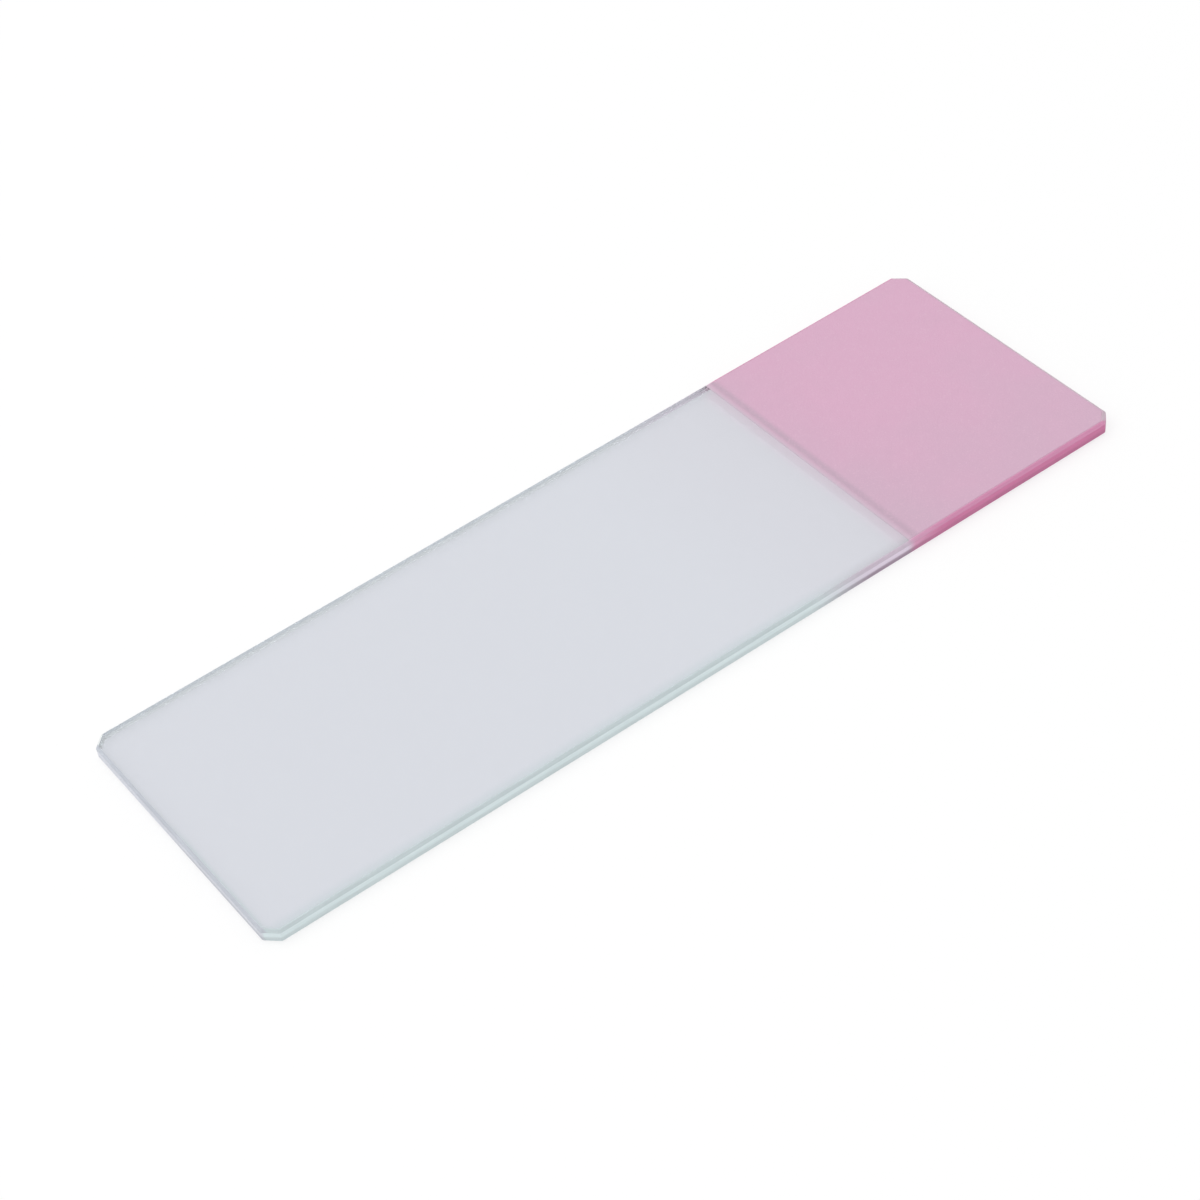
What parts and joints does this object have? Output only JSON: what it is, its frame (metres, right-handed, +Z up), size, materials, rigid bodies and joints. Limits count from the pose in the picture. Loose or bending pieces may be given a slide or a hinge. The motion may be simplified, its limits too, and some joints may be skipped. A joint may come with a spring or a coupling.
{
  "type": "microscope slide",
  "caption": "Rectangular clear glass microscope slide with clipped corners, ground edges and a pink frosted writing area on one end of its upper face.",
  "frame": {"origin": "middle of the slide's underside", "axes": "+X along the slide towards the frosted end, +Z up out of the frosted face"},
  "size_m": [0.0762, 0.0254, 0.0012],
  "materials": {
    "clear_glass": "polished faces, finely ground edges and corners",
    "pink_coat": "matte printed coat with a fine frosted grain"
  },
  "bodies": {
    "root": {"glass_slide": "clear_glass", "frosted_end_coat": "pink_coat"}
  },
  "joints": []
}
